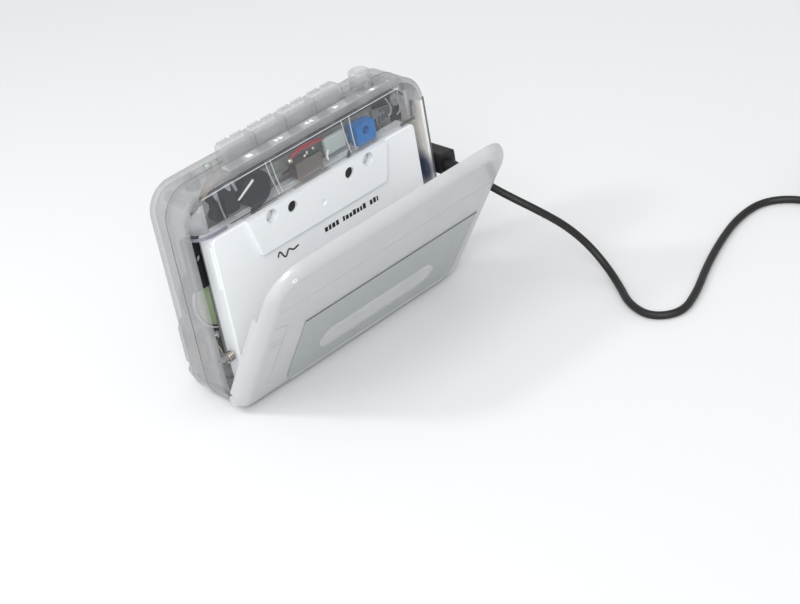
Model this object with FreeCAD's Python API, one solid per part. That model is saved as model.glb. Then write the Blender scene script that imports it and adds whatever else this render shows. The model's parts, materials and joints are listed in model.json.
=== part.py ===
import FreeCAD, Part
import math
import os

# A portable cassette player standing on its base, with its door open and a cassette loaded.
# Millimetres. +X right, +Y into the object, +Z up. Depths are drawn from the front cover's plane
# (depth 0) and moved when a part is saved, so that the origin lies on the base, at the parting line.

V = FreeCAD.Vector

# ---- case ----
HALF_W = 59.0          # half the case's width
HEIGHT = 88.0
CORNER_R = 12.0        # corners seen from the front
WALL = 2.0
RIM = 2.0              # depth of the front shell's front edge
SEAM = 12.0            # depth of the parting line between the two shells
BACK = 24.5            # depth of the flat back
BUMP_HALF_W = 54.0     # battery bump across the lower back
BUMP_TOP = 29.0
BUMP_BACK = 33.0
VENT_Z = (16.5, 25.0)   # slots in the bump's two ends
CLEAR = 0.3            # gap between pieces that pass each other

# ---- head cover ----
COVER_HALF_W = 56.6
COVER_LOW = 70.4
COVER_TOP = 85.7
COVER_WALL = 1.5
COVER_END_R = 7.4      # ends seen from above
COVER_BACK = 5.4
LIP_DEPTH = 3.4
LIP_NARROW = 1.9       # lip depth where the heads pass behind it
LIP_NARROW_HALF_W = 36.0

# ---- door ----
DOOR_HALF_W = 58.6
DOOR_TOP = 83.6
DOOR_HEEL = 1.3
DOOR_FACE = -5.0
DOOR_WALL = 1.8
DOOR_ROUND = 4.5       # rounding between the face and the flanges
DOOR_TOP_R, DOOR_LOW_R = 14.0, 7.0
DOOR_STEP = 57.0       # height where the deep flange ends
DOOR_OPEN = 32.0       # degrees, resting on its stop
PIVOT_Y = DOOR_FACE + DOOR_ROUND
PIVOT_Z = DOOR_HEEL + DOOR_ROUND
PIN_R = 1.0
EAR_R = 2.2
EAR_IN, EAR_OUT = 50.6, 52.4
BOSS_IN = 52.8
PANEL_X = (-36.5, 51.5)
PANEL_Z = (PIVOT_Z + 0.2, 45.5)
WINDOW_X = (-17.5, 29.7)
WINDOW_Z = 21.2
WINDOW_R = 6.2
WINDOW_SEAT = 0.5      # how far the window overlaps the door round its opening

# ---- cassette ----
TAPE_HALF_W = 50.2
TAPE_LOW, TAPE_TOP = 5.5, 69.3
TAPE_DEPTH = 8.7
TRAP_PROUD = 1.65      # the thicker part near the tape edge
TRAP_LOW = 54.0
TRAP_HALF_LOW, TRAP_HALF_TOP = 31.0, 34.5
HUB_X, HUB_Z = 21.25, 34.8
HUB_HOLE_R = 5.6
HUB_R = 11.0
TAPE_WIDTH = 3.8
LOCATING_X, LOCATING_Z, LOCATING_R = 14.2, 65.6, 2.2
CAPSTAN_HOLE_X, CAPSTAN_HOLE_Z, CAPSTAN_HOLE_R = 24.0, 66.6, 2.6
SUPPLY_PACK_R, TAKEUP_PACK_R = 21.5, 16.0
HEAD_WINDOWS = ((-9.0, 9.0), (-34.0, -17.0), (17.0, 34.0))
WINDOW_DEPTH = (1.6, 7.1)

# ---- mechanism ----
PLATE_FRONT, PLATE_BACK = 10.9, 11.9
PLATE_HALF_W = 48.5
PLATE_TOP = 78.0
SPINDLE_R = 1.5
BUSH_R = 3.2
FIT = 0.05             # radial running clearance
CAPSTAN_X, CAPSTAN_Z, CAPSTAN_R = -24.0, 66.0, 1.2
FLYWHEEL_R = 15.0
FLYWHEEL_FRONT = 17.4
BELT_GROOVE_R = 14.2
BELT_FRONT, BELT_BACK = 20.9, 21.9
MOTOR_X, MOTOR_Z, MOTOR_R = -43.1, 40.2, 13.2
MOTOR_FRONT, MOTOR_BACK = 12.2, 20.3
MOTOR_SHAFT_R = 0.8
PULLEY_R = 3.0
ROLLER_X, ROLLER_Z, ROLLER_R = -25.0, 77.0, 6.8
ARM_X = (-44.2, -32.3)    # the moulded block that carries the roller's pin
ARM_Z = (72.5, 83.0)
CARRIAGE_LOW = 73.0
BOARD_FRONT, BOARD_BACK = 19.6, 20.8
BOARD_X = (-6.5, 54.0)
BOARD_Z = (30.0, 82.0)
BOARD_SCREWS = ((-3.0, 79.0), (-3.0, 52.0), (30.0, 32.5))
LEAD_R = 0.4

# ---- keys ----
KEY_PITCH = 14.6
KEY_MIDDLE = -1.5        # the row of keys sits a little left of the middle
KEY_X = [KEY_MIDDLE + KEY_PITCH * (i - 1.5) for i in range(4)]
KEY_NAMES = ("stop", "fast_forward", "rewind", "play")
KEY_WIDTH = 14.2
KEY_Y = (9.0, 15.4)
KEY_LOW, KEY_TOP = 82.5, 93.8
KEY_TRAVEL = 3.0
STEM_Y = (12.3, 14.9)
STEM_LOW = 74.0
STEM_HALF = 2.5
RECORD_X, RECORD_Y, RECORD_R, RECORD_TOP = 37.2, 10.7, 4.1, 94.5

# ---- sockets, volume wheel, power lead ----
JACK_Y = 16.4
POWER_Z = 46.5
PHONE_Z = 58.0
SOCKET_R = 1.8
VOLUME_X, VOLUME_Z, VOLUME_R = 53.0, 70.4, 7.5
VOLUME_Y = (14.0, 17.5)
MIC_X, MIC_Y, MIC_R = -41.2, 17.0, 2.8
LAMP_X, LAMP_Y, LAMP_R = -34.6, 15.0, 1.5
CELL_R, CELL_Y, CELL_Z, CELL_LENGTH = 7.1, 23.5, 16.0, 50.4
CORD_R = 1.5
PLUG_X = (59.3, 67.3)
PLUG_FRONT = -1.0
RELIEF_LENGTH = 9.0
CORD_EXIT = V(63.3, PLUG_FRONT - RELIEF_LENGTH, 44.3)
COIL_X, COIL_Y = 191.0, -104.0
COIL_RADII = (11.5, 23.5)
COIL_HEIGHT = 5.7
CORD_ROUTE = [
    CORD_EXIT,
    V(63.6, -19.0, 42.0),
    V(66.0, -29.5, 37.5),
    V(71.5, -38.5, 31.0),
    V(79.5, -43.5, 22.0),
    V(85.5, -48.5, 12.0),
    V(86.0, -56.5, 4.0),
    V(80.5, -67.0, 1.5),
    V(72.5, -78.0, 1.5),
    V(69.5, -90.5, 1.5),
    V(78.0, -99.0, 1.5),
    V(92.5, -94.5, 1.5),
    V(108.0, -87.0, 1.5),
    V(126.0, -80.0, 1.5),
    V(144.0, -75.0, 1.5),
    V(159.5, -75.5, 1.5),
    V(168.0, -85.5, 1.5),
    V(169.0, -99.0, 1.5),
]


# ---- shapes ----
def box(x, y, z):
    return Part.makeBox(x[1] - x[0], y[1] - y[0], z[1] - z[0], V(x[0], y[0], z[0]))


def rod_x(y, z, radius, x):
    return Part.makeCylinder(radius, x[1] - x[0], V(x[0], y, z), V(1, 0, 0))


def rod_y(x, z, radius, y):
    return Part.makeCylinder(radius, y[1] - y[0], V(x, y[0], z), V(0, 1, 0))


def rod_z(x, y, radius, z):
    return Part.makeCylinder(radius, z[1] - z[0], V(x, y, z[0]), V(0, 0, 1))


def ring_y(x, z, outer, inner, y):
    return rod_y(x, z, outer, y).cut(rod_y(x, z, inner, (y[0] - 1, y[1] + 1)))


def along(edge, axis):
    start, end = edge.Vertexes[0].Point, edge.Vertexes[-1].Point
    return edge.Curve.TypeId == "Part::GeomLine" and abs((end - start).normalize().dot(axis)) > 0.999


def rounded(shape, axis, radius, keep=lambda centre: True):
    """Rounds the straight edges that run along an axis."""
    edges = [e for e in shape.Edges if along(e, axis) and keep(e.CenterOfMass)]
    return shape.makeFillet(radius, edges)


def slab(half_w, z, y, radius):
    """An upright plate with rounded corners, seen from the front."""
    return rounded(box((-half_w, half_w), y, z), V(0, 1, 0), radius)


def soft_edge(shape, depth, radius):
    """Rounds the whole outline of the face at one depth."""
    edges = [e for e in shape.Edges if all(abs(v.Point.y - depth) < 1e-6 for v in e.Vertexes)]
    return shape.makeFillet(radius, edges)


def prism_y(points, y):
    """A flat outline in X and Z, as thick as the span y."""
    corners = [V(px, y[0], pz) for px, pz in points]
    wire = Part.makePolygon(corners + corners[:1])
    return Part.Face(wire).extrude(V(0, y[1] - y[0], 0))


def join(first, *others):
    return first.fuse(list(others)).removeSplitter()


def cut(shape, *tools):
    return shape.cut(list(tools))


def mirrored(shape):
    return shape.mirror(V(0, 0, 0), V(1, 0, 0))


def both(shape):
    """A shape and its mirror image, left in two separate solids."""
    return [shape, mirrored(shape)]


def save(name, *shapes):
    shape = shapes[0] if len(shapes) == 1 else Part.makeCompound(list(shapes))
    shape = shape.copy()
    shape.translate(V(0, -SEAM, 0))
    if not shape.isValid():
        raise ValueError(name + " is not a valid solid")
    shape.exportStep("parts/" + name + ".step")
    print(f"{name:24s} solids {len(shape.Solids)}  volume {shape.Volume:10.1f}")


# ---- case ----
def key_openings():
    reach = KEY_WIDTH / 2 + CLEAR
    bank = box((KEY_X[0] - reach, KEY_X[-1] + reach), (KEY_Y[0] - CLEAR, KEY_Y[1] + CLEAR), (80, 90))
    return [bank, rod_z(RECORD_X, RECORD_Y, RECORD_R + CLEAR, (80, 90))]


def screw_places():
    return [(-53.6, 8.0), (53.6, 8.0), (-47.5, 79.5), (47.5, 79.5)]


def front_shell():
    outer = slab(HALF_W, (0, HEIGHT), (RIM, SEAM), CORNER_R)
    outer = soft_edge(outer, RIM, 0.9)
    inner = slab(HALF_W - WALL, (WALL, HEIGHT - WALL), (RIM - 1, SEAM + 1), CORNER_R - WALL)
    shell = cut(outer, inner, *key_openings())
    ledge = box((-49, 49), (RIM + 1.0, SEAM - 1.2), (4.0, TAPE_LOW - CLEAR))
    ribs = [box((x - 0.7, x + 0.7), (RIM + 1.0, SEAM - 1.2), (1.9, 4.1)) for x in (-48, -24, 0, 24, 48)]
    bosses = [rod_y(x, z, 2.6, (RIM + 2.4, SEAM)) for x, z in screw_places()]
    webs = [box((-57.2, -53.6), (8, SEAM), (7.4, 8.6)), box((53.6, 57.2), (8, SEAM), (7.4, 8.6))]
    webs += [box((x - 0.6, x + 0.6), (8, SEAM), (79.5, 86.2)) for x in (-47.5, 47.5)]
    post = rod_x(3.4, 21.0, 1.2, (-57.2, -52.0))
    shell = join(shell, ledge, *ribs, *bosses, *webs, *both(hinge_ear()), post)
    pilots = [rod_y(x, z, 1.0, (RIM + 4.0, SEAM + 1)) for x, z in screw_places()]
    pin_holes = [rod_x(PIVOT_Y, PIVOT_Z, PIN_R, (EAR_IN - 1, EAR_OUT + 1))]
    pin_holes.append(mirrored(pin_holes[0]))
    return cut(shell, *pilots, *pin_holes)


def hinge_ear():
    x = (EAR_IN, EAR_OUT)
    eye = rod_x(PIVOT_Y, PIVOT_Z, EAR_R, x)
    arm = box(x, (PIVOT_Y, RIM + 3.0), (PIVOT_Z - EAR_R, PIVOT_Z + EAR_R))
    foot = box(x, (RIM + 0.9, RIM + 3.0), (WALL - 0.1, PIVOT_Z))
    return join(eye, arm, foot)


def rear_shell():
    outer = soft_edge(slab(HALF_W, (0, HEIGHT), (SEAM, BACK), CORNER_R), BACK, 5.0)
    bump = soft_edge(slab(BUMP_HALF_W, (0, BUMP_TOP), (SEAM + 4, BUMP_BACK), 6.0), BUMP_BACK, 3.5)
    inner = slab(HALF_W - WALL, (WALL, HEIGHT - WALL), (SEAM - 1, BACK - WALL), CORNER_R - WALL)
    inner = soft_edge(inner, BACK - WALL, 3.0)
    hollow = slab(BUMP_HALF_W - WALL, (WALL, BUMP_TOP - WALL), (SEAM - 1, BUMP_BACK - WALL), 4.0)
    shell = cut(join(outer, bump), inner, hollow)
    bosses = [rod_y(x, z, 2.6, (SEAM, BACK - 1)) for x, z in screw_places()]
    shell = join(shell, *bosses)
    drills = [rod_y(x, z, 1.3, (SEAM - 1, BACK + 9)) for x, z in screw_places()]
    sinks = [rod_y(x, z, 2.3, (BACK - 2.2, BUMP_BACK + 1)) for x, z in screw_places()]
    door_hole = box((-40.3, 40.3), (BUMP_BACK - WALL - 0.2, BUMP_BACK + 1), (4.5, BUMP_TOP + 1))
    power = rod_x(JACK_Y, POWER_Z, 4.0, (HALF_W - 3, HALF_W + 1))
    phones = rod_x(JACK_Y, PHONE_Z, 3.0 + FIT, (HALF_W - 3, HALF_W + 1))
    slot = box((54.0, 62.0), (VOLUME_Y[0] - 0.4, VOLUME_Y[1] + 0.4), (VOLUME_Z - 6.9, VOLUME_Z + 6.9))
    sound_hole = rod_z(MIC_X, MIC_Y, 0.6, (80, 90))
    lamp_hole = rod_z(LAMP_X, LAMP_Y, LAMP_R + 0.1, (80, 90))
    vents = [box((s * 56 - 4, s * 56 + 4), (y, y + 0.8), VENT_Z) for s in (-1, 1) for y in (25.8, 27.4)]
    return cut(shell, *drills, *sinks, door_hole, power, phones, slot, sound_hole, lamp_hole,
               *vents, *key_openings())


def case_screws():
    screws = []
    for x, z in screw_places():
        head_back = BACK - 0.6
        screw = join(rod_y(x, z, 2.1, (head_back - 1.5, head_back)), rod_y(x, z, 1.0, (SEAM - 5, head_back)))
        cross = [box((x - 1.3, x + 1.3), (head_back - 0.6, head_back + 1), (z - 0.25, z + 0.25))]
        cross.append(box((x - 0.25, x + 0.25), (head_back - 0.6, head_back + 1), (z - 1.3, z + 1.3)))
        screws.append(cut(screw, *cross))
    return screws


def cover_body(inset):
    """The head cover's outside, or its inside when inset by the wall."""
    half, top, front = COVER_HALF_W - inset, COVER_TOP - inset, inset
    plan = box((-half, half), (front, 9), (COVER_LOW - 1, top + 1))
    plan = rounded(plan, V(0, 0, 1), COVER_END_R - inset, lambda c: c.y < front + 0.1)
    front_view = box((-half, half), (front - 1, 10), (COVER_LOW - 5, top))
    front_view = rounded(front_view, V(0, 1, 0), 9.7 - inset, lambda c: c.z > top - 0.1)
    return plan.common(front_view)


def head_cover():
    cover = cover_body(0).common(box((-60, 60), (-1, COVER_BACK), (COVER_LOW, 90)))
    hollow = cover_body(COVER_WALL).common(box((-60, 60), (0, 9), (COVER_LOW + COVER_WALL, 90)))
    below = cover_body(COVER_WALL).common(box((-60, 60), (LIP_DEPTH, 9), (COVER_LOW - 5, COVER_LOW + 4)))
    ribs = []
    for x in (-17.6, 19.6):
        for side in (-1.5, 1.5):
            ribs.append(box((x + side - 0.35, x + side + 0.35), (1.2, 1.8), (COVER_LOW, COVER_TOP - 0.8)))
    heads = box((-LIP_NARROW_HALF_W, LIP_NARROW_HALF_W), (LIP_NARROW, 9), (COVER_LOW - 1, COVER_LOW + 4))
    slit = box((-20.5, -13.0), (-1, LIP_DEPTH + 1), (COVER_LOW - 1, COVER_LOW + 0.7))
    gaps = [rod_y(x, z, 2.6 + CLEAR, (RIM, 12)) for x, z in screw_places()[2:]]
    return cut(join(cut(cover, hollow, below, heads), *ribs), slit, *gaps)


def label_strip():
    strip = box((-34, 31), (3.2, 8.2), (HEIGHT, HEIGHT + 0.3))
    tail = box((30, 45), (3.2, 5.1), (HEIGHT, HEIGHT + 0.3))
    return join(strip, tail)


# ---- door ----
def opened(shape):
    """Turns a piece drawn on the closed door to where the open door holds it."""
    turned = shape.copy()
    turned.rotate(V(0, PIVOT_Y, PIVOT_Z), V(1, 0, 0), DOOR_OPEN)
    return turned


def door_block(inset, back):
    """The closed door's outside, or the inside of its tray when inset by the wall."""
    half, front = DOOR_HALF_W - inset, DOOR_FACE + inset
    block = box((-half, half), (front, back), (DOOR_HEEL + inset, DOOR_TOP - inset))
    block = rounded(block, V(0, 1, 0), DOOR_TOP_R - inset, lambda c: c.z > DOOR_STEP)
    block = rounded(block, V(0, 1, 0), DOOR_LOW_R - inset, lambda c: c.z < DOOR_STEP)
    return soft_edge(block, front, DOOR_ROUND - inset)


def door():
    outer = door_block(0, 1.6)
    inner = door_block(DOOR_WALL, 3.0)
    heel_trim = box((-60, 60), (-1.5, 3), (-1, 9.5))
    head_trim = box((-60, 60), (-0.8, 3), (DOOR_STEP, 90))
    tray = cut(outer, inner, heel_trim, head_trim)
    boss = rod_x(PIVOT_Y, PIVOT_Z, EAR_R, (BOSS_IN, DOOR_HALF_W - 0.8))
    grips = [box((-0.6 + 3.2 * i, 0.6 + 3.2 * i), (DOOR_FACE + 1.6, -2.4), (76, 81)) for i in (-1, 0, 1)]
    ribs = [box((s * 53.0 - 0.5, s * 53.0 + 0.5), (DOOR_FACE + 1.6, -2.3), (12, 54)) for s in (-1, 1)]
    tray = join(tray, *both(boss), *grips, *ribs)
    hole = rod_x(PIVOT_Y, PIVOT_Z, PIN_R + FIT, (BOSS_IN - 1, DOOR_HALF_W - 1.4))
    sight = obround(WINDOW_R - WINDOW_SEAT, (DOOR_FACE - 1, DOOR_FACE + DOOR_WALL + 1))
    return cut(tray, *both(hole), sight)


def obround(radius, y):
    middle = box(WINDOW_X, y, (WINDOW_Z - radius, WINDOW_Z + radius))
    return join(middle, rod_y(WINDOW_X[0], WINDOW_Z, radius, y), rod_y(WINDOW_X[1], WINDOW_Z, radius, y))


def door_panel():
    y = (DOOR_FACE - 0.3, DOOR_FACE)
    low, high = PANEL_Z
    left, right = PANEL_X
    corners = [(left, high), (right, high), (right, low + 4), (right - 4, low)]
    corners += [(left + 2, low), (left, low + 3)]
    return cut(prism_y(corners, y), obround(WINDOW_R, (y[0] - 1, y[1] + 1)))


def door_window():
    return obround(WINDOW_R - 0.1, (DOOR_FACE - 0.5, DOOR_FACE))


def leaf_springs():
    """Two strips inside the door that press on the cassette."""
    strip = box((24, 29), (DOOR_FACE + DOOR_WALL, DOOR_FACE + DOOR_WALL + 0.3), (18, 50))
    bow = box((24, 29), (DOOR_FACE + DOOR_WALL, DOOR_FACE + DOOR_WALL + 0.9), (26, 42))
    return both(join(strip, rounded(bow, V(1, 0, 0), 0.55, lambda c: c.y > DOOR_FACE + DOOR_WALL + 0.6)))


def hinge_pins():
    return both(rod_x(PIVOT_Y, PIVOT_Z, PIN_R, (EAR_IN - 0.2, DOOR_HALF_W - 1.6)))


def door_spring():
    """The wound body and two legs of the spring that pushes the door open."""
    coil = rod_x(3.4, 21.0, 2.0, (-55.6, -52.4)).cut(rod_x(3.4, 21.0, 1.3, (-60, -50)))
    up = rod_z(-55.3, 5.1, 0.3, (21.0, 29.0))
    down = rod_z(-52.7, 5.1, 0.3, (12.0, 21.0))
    return join(coil, up, down)


# ---- cassette ----
def trapezoid(y):
    corners = [(-TRAP_HALF_LOW, TRAP_LOW), (TRAP_HALF_LOW, TRAP_LOW)]
    corners += [(TRAP_HALF_TOP, TAPE_TOP), (-TRAP_HALF_TOP, TAPE_TOP)]
    return prism_y(corners, y)


def cassette_half(y, trap_y, face, edge):
    """One moulded half: its depth span, its thicker part's, its outer face and that face's rounding."""
    body = soft_edge(slab(TAPE_HALF_W, (TAPE_LOW, TAPE_TOP), y, 2.2), face, edge)
    body = join(body, trapezoid(trap_y))
    cavity = box((-48.6, 48.6), (1.4, TAPE_DEPTH - 1.4), (TAPE_LOW + 1.6, 61.0))
    holes = [rod_y(s * HUB_X, HUB_Z, HUB_HOLE_R, (-5, 15)) for s in (-1, 1)]
    holes += [rod_y(s * LOCATING_X, LOCATING_Z, LOCATING_R, (-5, 15)) for s in (-1, 1)]
    holes += [rod_y(s * CAPSTAN_HOLE_X, CAPSTAN_HOLE_Z, CAPSTAN_HOLE_R, (-5, 15)) for s in (-1, 1)]
    dimples = [rod_y(0, 60.2, 1.2, (-TRAP_PROUD - 1, -TRAP_PROUD + 0.6))]
    windows = [box(x, WINDOW_DEPTH, (62.6, TAPE_TOP + 1)) for x in HEAD_WINDOWS]
    return cut(body, cavity, *holes, *dimples, *windows)


def cassette_front():
    return cassette_half((0, TAPE_DEPTH / 2), (-TRAP_PROUD, 1.0), 0, 0.4)


def cassette_rear():
    trap_y = (TAPE_DEPTH - 1.0, TAPE_DEPTH + TRAP_PROUD)
    return cassette_half((TAPE_DEPTH / 2, TAPE_DEPTH), trap_y, TAPE_DEPTH, 1.0)


def hub(x):
    ring = ring_y(x, HUB_Z, HUB_R, 5.0, (2.0, 6.7))
    teeth = []
    for i in range(6):
        tooth = box((x - 0.5, x + 0.5), (2.4, 6.3), (HUB_Z + 4.25, HUB_Z + 5.3))
        tooth.rotate(V(x, 0, HUB_Z), V(0, 1, 0), 60 * i)
        teeth.append(tooth)
    return join(ring, *teeth)


def tape_pack(x, radius):
    middle = 4.35
    return ring_y(x, HUB_Z, radius, HUB_R, (middle - TAPE_WIDTH / 2, middle + TAPE_WIDTH / 2))


def guide_rollers():
    return both(ring_y(44.0, 57.0, 2.6, 1.0, (2.0, 6.7)))


def pressure_pad():
    strip = box((-8.6, 8.6), (2.6, 6.1), (62.8, 63.1))
    return join(strip, box((-3, 3), (2.6, 6.1), (63.0, 66.4)))


# ---- mechanism ----
def spindle(x):
    shaft = rod_y(x, HUB_Z, SPINDLE_R, (3.0, 14.4))
    cap = rod_y(x, HUB_Z, 2.8, (2.0, 9.2))
    tip = Part.makeCone(1.4, 2.8, 1.2, V(x, 0.8, HUB_Z), V(0, 1, 0))
    gear = rod_y(x, HUB_Z, 9.0, (12.4, 14.2))
    fins = []
    for i in range(3):
        fin = box((x - 0.45, x + 0.45), (2.2, 7.4), (HUB_Z + 2.0, HUB_Z + 4.0))
        fin.rotate(V(x, 0, HUB_Z), V(0, 1, 0), 120 * i + 30)
        fins.append(fin)
    return join(shaft, cap, tip, gear, *fins)


def chassis_plate():
    plate = box((-PLATE_HALF_W, PLATE_HALF_W), (PLATE_FRONT, PLATE_BACK), (4.2, PLATE_TOP))
    holes = [rod_y(s * HUB_X, HUB_Z, BUSH_R, (9, 13)) for s in (-1, 1)]
    holes.append(rod_y(CAPSTAN_X, CAPSTAN_Z, BUSH_R, (9, 13)))
    holes += [rod_y(x, z, 3.0, (9, 13)) for x, z in screw_places()]
    return cut(plate, *holes)


def locating_pins():
    """The two pins that the cassette's locating holes drop over."""
    return both(rod_y(LOCATING_X, LOCATING_Z, 1.7, (4.0, PLATE_FRONT)))


def bearings():
    bushes = [ring_y(s * HUB_X, HUB_Z, BUSH_R, SPINDLE_R + FIT, (10.4, 12.1)) for s in (-1, 1)]
    bushes.append(ring_y(CAPSTAN_X, CAPSTAN_Z, BUSH_R, CAPSTAN_R + FIT, (10.4, 15.4)))
    return bushes


def flywheel():
    wheel = rod_y(CAPSTAN_X, CAPSTAN_Z, FLYWHEEL_R, (FLYWHEEL_FRONT, 22.2))
    groove = ring_y(CAPSTAN_X, CAPSTAN_Z, FLYWHEEL_R + 1, BELT_GROOVE_R, (BELT_FRONT - 0.2, BELT_BACK + 0.1))
    dish = ring_y(CAPSTAN_X, CAPSTAN_Z, 12.0, 4.0, (FLYWHEEL_FRONT - 1, FLYWHEEL_FRONT + 1.6))
    return cut(wheel, groove, dish, rod_y(CAPSTAN_X, CAPSTAN_Z, CAPSTAN_R, (15, 23)))


def capstan():
    return rod_y(CAPSTAN_X, CAPSTAN_Z, CAPSTAN_R, (2.2, 22.2))


def motor():
    can = soft_edge(rod_y(MOTOR_X, MOTOR_Z, MOTOR_R, (MOTOR_FRONT, MOTOR_BACK)), MOTOR_FRONT, 0.6)
    shoulder = rod_y(MOTOR_X, MOTOR_Z, 2.6, (MOTOR_BACK - 1, MOTOR_BACK + 0.2))
    bore = rod_y(MOTOR_X, MOTOR_Z, MOTOR_SHAFT_R + FIT, (16.5, 23))
    return cut(join(can, shoulder), bore)


def motor_pulley():
    shaft = rod_y(MOTOR_X, MOTOR_Z, MOTOR_SHAFT_R, (17.0, 22.3))
    wheel = rod_y(MOTOR_X, MOTOR_Z, PULLEY_R + 0.6, (20.6, 22.2))
    groove = ring_y(MOTOR_X, MOTOR_Z, PULLEY_R + 1, PULLEY_R, (BELT_FRONT - 0.1, BELT_BACK + 0.1))
    return join(shaft, cut(wheel, groove))


def belt_loop(grow, y):
    """The outline of a belt round the pulley and the flywheel, standing off both by grow."""
    small, large = PULLEY_R + grow, BELT_GROOVE_R + grow
    a, b = V(MOTOR_X, y[0], MOTOR_Z), V(CAPSTAN_X, y[0], CAPSTAN_Z)
    line = b - a
    span = line.Length
    u = V(line).normalize()
    side = V(-u.z, 0, u.x)
    lean = (small - large) / span
    across = math.sqrt(1 - lean * lean)
    n1 = u * lean + side * across
    n2 = u * lean - side * across
    edges = [Part.LineSegment(a + n1 * small, b + n1 * large).toShape()]
    edges.append(Part.Arc(b + n1 * large, b + u * large, b + n2 * large).toShape())
    edges.append(Part.LineSegment(b + n2 * large, a + n2 * small).toShape())
    edges.append(Part.Arc(a + n2 * small, a - u * small, a + n1 * small).toShape())
    return Part.Face(Part.Wire(edges)).extrude(V(0, y[1] - y[0], 0))


def drive_belt():
    y = (BELT_FRONT, BELT_BACK)
    return cut(belt_loop(0.75, y), belt_loop(FIT, (y[0] - 1, y[1] + 1)))


def head_carriage():
    """The sliding plate that carries the heads down to the tape."""
    plate = box((-40, 40), (9.0, 9.8), (CARRIAGE_LOW, 79.0))
    frame = box((-36, 36), (7.6, 9.1), (CARRIAGE_LOW, CARRIAGE_LOW + 2.0))
    lugs = [box((x - 3, x + 3), (7.6, 9.1), (CARRIAGE_LOW + 1.9, 78.8)) for x in (-33.5, 0, 33.0)]
    slots = [box((x - 1.6, x + 1.6), (8, 11), (74.2, 78.0)) for x in (-37.0, 37.0)]
    return cut(join(plate, frame, *lugs), *slots)


def record_play_head():
    core = rounded(box((-6.2, 6.2), (2.4, 6.9), (70.6, 77.6)), V(0, 1, 0), 1.4, lambda c: c.z < 71)
    wing = box((-9.5, 9.5), (5.6, 7.6), (73.5, 74.6))
    return join(core, wing)


def erase_head():
    block = rounded(box((24.0, 33.6), (2.4, 7.5), (72.3, 78.4)), V(0, 1, 0), 0.6)
    nose = box((24.4, 33.2), (2.6, 6.9), (70.5, 72.5))
    hole = rod_y(28.8, 75.6, 1.6, (1, 5))
    return cut(join(block, nose), hole)


def pinch_arm():
    bar = box((ARM_X[1] - 1.0, ROLLER_X), (7.15, 7.55), (ROLLER_Z - 1.6, ROLLER_Z + 1.6))
    block = rounded(box(ARM_X, (4.0, 7.55), ARM_Z), V(0, 1, 0), 1.0, lambda c: c.z < 76 or c.x > -35)
    block = rounded(block, V(0, 1, 0), 4.5, lambda c: c.z > 80 and c.x < -40)
    recess = box((ARM_X[0] + 1.2, ARM_X[0] + 5.6), (3.0, 6.0), (ARM_Z[0] + 1.4, ARM_Z[1] - 2.4))
    pin = rod_y(ROLLER_X, ROLLER_Z, 1.0, (2.0, 7.5))
    return join(cut(block, recess), bar, pin)


def pinch_roller():
    tyre = ring_y(ROLLER_X, ROLLER_Z, ROLLER_R, 1.0 + FIT, (2.2, 6.9))
    return rounded_rim(tyre)


def rounded_rim(shape):
    edges = [e for e in shape.Edges if e.Curve.TypeId == "Part::GeomCircle" and e.Curve.Radius > 6]
    return shape.makeFillet(0.5, edges)


def main_board():
    board = box(BOARD_X, (BOARD_FRONT, BOARD_BACK), BOARD_Z)
    notch = box((-8, 8), (19, 22), (26, 34))
    holes = [rod_y(x, z, 1.1, (19, 22)) for x, z in BOARD_SCREWS]
    screw_gap = rod_y(47.5, 79.5, 3.0, (19, 22))
    return cut(board, notch, screw_gap, *holes)


def board_parts():
    front = (16.0, BOARD_FRONT)
    rear = (BOARD_BACK, BOARD_BACK + 1.3)
    parts = [box((8, 20), (17.6, BOARD_FRONT), (52, 64)), box((24, 33), (18.0, BOARD_FRONT), (62, 68))]
    parts += [rod_y(x, z, 2.5, front) for x, z in ((2, 71), (10, 70.5), (36, 48), (36, 42))]
    for z in (36, 40, 46):
        parts += [box((x, x + 2.0), (18.6, BOARD_FRONT), (z, z + 1.2)) for x in (4, 12, 20, 28)]
    parts += [box((10, 22), rear, (36, 48)), box((28, 36), rear, (54, 62)), box((2, 10), rear, (60, 66))]
    parts += [rod_y(VOLUME_X, VOLUME_Z, 3.2, (18.2, BOARD_FRONT))]
    return parts


def board_screws():
    screws = []
    for x, z in BOARD_SCREWS:
        screws.append(join(rod_y(x, z, 1.0, (17.0, 21.6)), rod_y(x, z, 1.9, (BOARD_BACK, 21.9))))
    return screws


def head_leads():
    """Two thin leads looped over the record and play head."""
    red = [V(1.0, 5.0, 77.4), V(1.5, 4.4, 81.2), V(7.0, 4.0, 82.6), V(12.5, 5.2, 80.0), V(14.0, 6.4, 76.5)]
    green = [V(-2.0, 5.2, 77.4), V(-2.4, 5.0, 80.6), V(2.4, 6.2, 83.2), V(8.0, 7.0, 81.4)]
    return [tube(route, LEAD_R) for route in (red, green)]


# ---- keys ----
def key_ribs(x):
    """Fine ribs along the back of a key's top, for grip."""
    ribs = []
    for i in (-4, -3, -2, -1, 1, 2, 3, 4):
        middle = x + 1.3 * i
        ribs.append(box((middle - 0.3, middle + 0.3), (12.6, 15.1), (KEY_TOP - 1.0, KEY_TOP + 0.4)))
    return ribs


def key_row():
    """The outside of the four keys together, rounded only at the row's two ends."""
    half = KEY_WIDTH / 2
    row = box((KEY_X[0] - half, KEY_X[-1] + half), KEY_Y, (KEY_LOW, KEY_TOP))
    row = rounded(row, V(0, 0, 1), 1.6)
    return row.makeFillet(1.1, [e for e in row.Edges if e.CenterOfMass.z > KEY_TOP - 0.01])


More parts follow.
